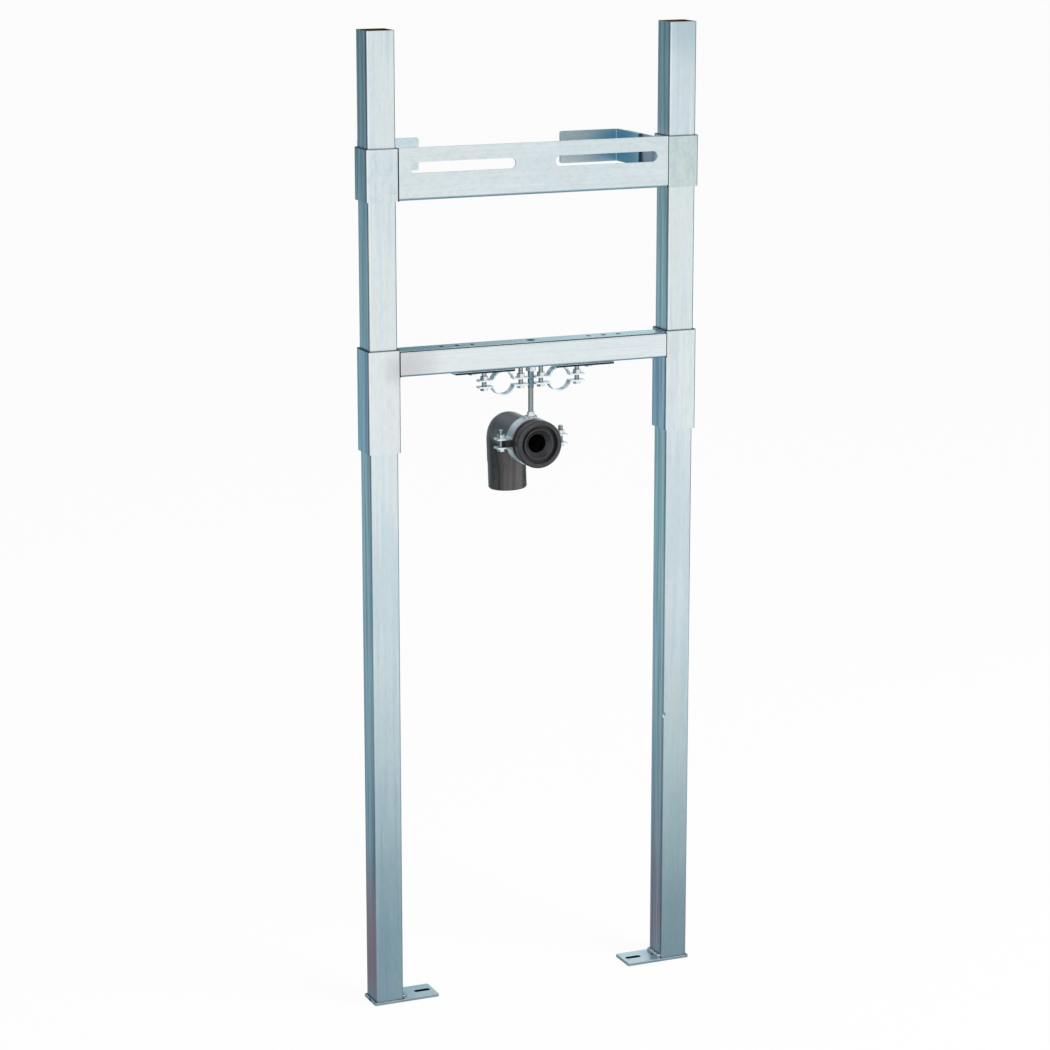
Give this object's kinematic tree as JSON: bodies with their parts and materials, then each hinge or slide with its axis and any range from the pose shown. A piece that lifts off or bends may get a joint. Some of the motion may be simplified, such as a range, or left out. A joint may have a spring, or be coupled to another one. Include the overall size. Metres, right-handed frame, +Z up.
{
  "type": "basin installation frame",
  "caption": "zinc-plated floor frame for a wall basin: two uprights, sliding slotted crossbar, sliding lower bar with pipe clips and a clamped waste elbow",
  "frame": {"origin": "on the underside of the left foot plate, on the axis of the left upright", "axes": "+X to the right along the crossbars, +Y back to the wall, +Z up along the uprights"},
  "size_m": [0.486, 0.1765, 1.347],
  "materials": {
    "zinc_steel": "blue-clear passivated zinc on cold-rolled steel",
    "zinc_fastener": "bright zinc plate",
    "pipe_plastic": "black polyethylene, satin",
    "seal_rubber": "matt black rubber"
  },
  "bodies": {
    "floor_frame": {"left_upright": "zinc_steel", "right_upright": "zinc_steel", "left_foot_plate": "zinc_steel", "right_foot_plate": "zinc_steel"},
    "upper_bar": {"upper_left_sleeve": "zinc_steel", "upper_right_sleeve": "zinc_steel", "upper_crossbar": "zinc_steel", "left_wall_strap": "zinc_steel", "right_wall_strap": "zinc_steel", "left_wall_bracket": "zinc_steel", "right_wall_bracket": "zinc_steel", "left_bracket_bolts": "zinc_fastener", "right_bracket_bolts": "zinc_fastener", "upper_lock_screws": "zinc_fastener"},
    "lower_bar": {"lower_left_sleeve": "zinc_steel", "lower_right_sleeve": "zinc_steel", "lower_crossbar": "zinc_steel", "left_clip_plate": "zinc_steel", "right_clip_plate": "zinc_steel", "left_clip_upper": "zinc_steel", "left_clip_lower": "zinc_steel", "right_clip_upper": "zinc_steel", "right_clip_lower": "zinc_steel", "waste_clamp_upper": "zinc_steel", "waste_clamp_lower": "zinc_steel", "lower_lock_screws": "zinc_fastener", "clip_plate_bolts": "zinc_fastener", "left_clip_screws": "zinc_fastener", "right_clip_screws": "zinc_fastener", "hanger_rod": "zinc_fastener", "rod_nuts": "zinc_fastener", "waste_clamp_screws": "zinc_fastener", "waste_elbow": "pipe_plastic", "elbow_seal": "seal_rubber", "clamp_lining": "seal_rubber"}
  },
  "joints": [
    {"name": "upper_bar_height", "type": "slide", "parent": "floor_frame", "child": "upper_bar", "axis": [0, 0, 1], "range_m": [-0.09, 0.15]},
    {"name": "lower_bar_height", "type": "slide", "parent": "floor_frame", "child": "lower_bar", "axis": [0, 0, 1], "range_m": [-0.3, 0.09]}
  ]
}
